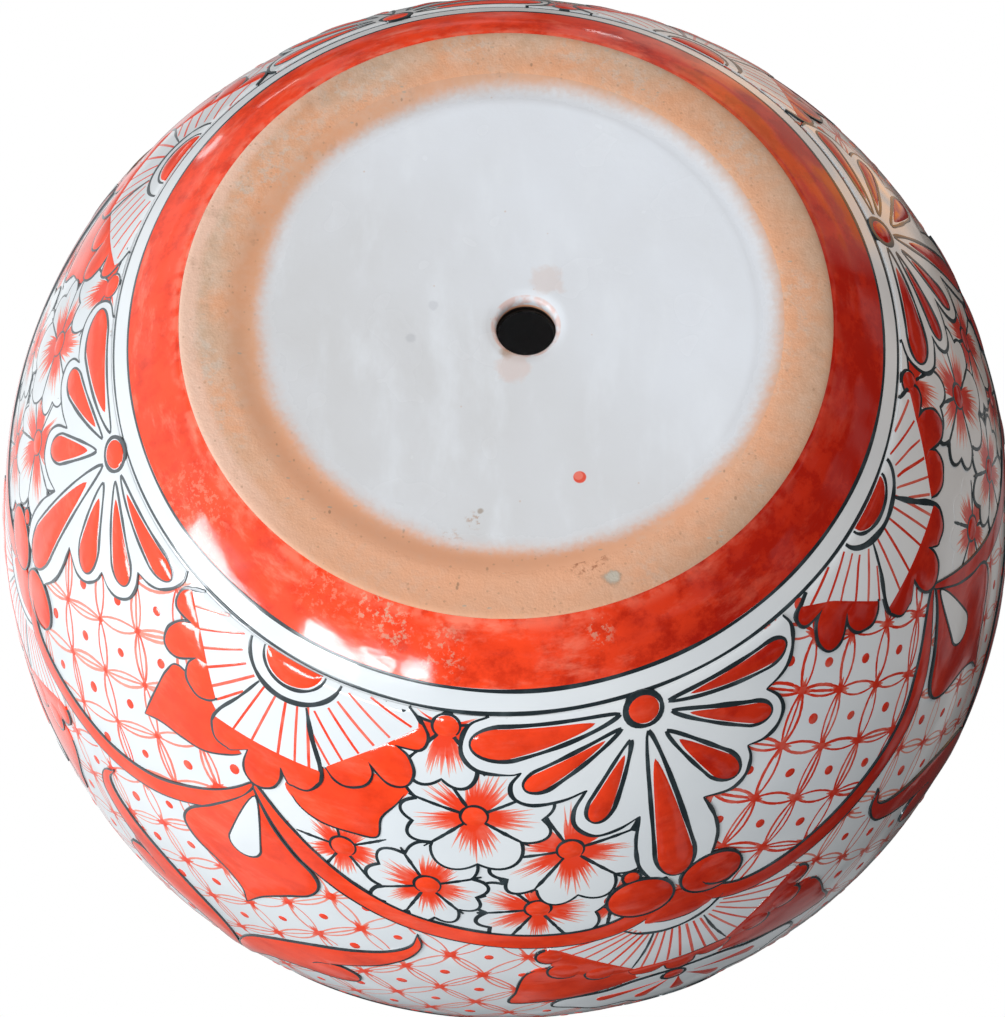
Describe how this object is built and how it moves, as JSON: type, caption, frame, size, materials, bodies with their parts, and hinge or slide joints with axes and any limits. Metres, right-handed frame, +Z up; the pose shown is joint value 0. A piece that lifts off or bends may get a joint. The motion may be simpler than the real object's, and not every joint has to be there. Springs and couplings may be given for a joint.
{
  "type": "ceramic planter vase",
  "caption": "Round-bellied glazed earthenware planter with a rolled lip, a bare clay standing ring and a drain hole in its recessed base.",
  "frame": {"origin": "centre of the foot, on the plane that the planter stands on", "axes": "+Z up along the turning axis to the mouth; the drain hole lies a little to -X and -Y of the axis"},
  "size_m": [0.3802, 0.3802, 0.3237],
  "materials": {
    "terracotta": "raw fired earthenware, fine grit, matt",
    "white_glaze": "glossy tin-white glaze, faintly mottled",
    "red_glaze": "glossy brushed red enamel, uneven in depth",
    "black_enamel": "glossy blue-black outline enamel"
  },
  "bodies": {
    "root": {"clay_body": "terracotta", "inside_glaze": "white_glaze", "lip_band_glaze": "red_glaze", "lip_line_enamel": "black_enamel", "body_glaze": "white_glaze", "upper_line_enamel": "black_enamel", "white_band_glaze": "white_glaze", "lower_line_enamel": "black_enamel", "foot_band_glaze": "red_glaze", "base_glaze": "white_glaze"}
  },
  "joints": []
}
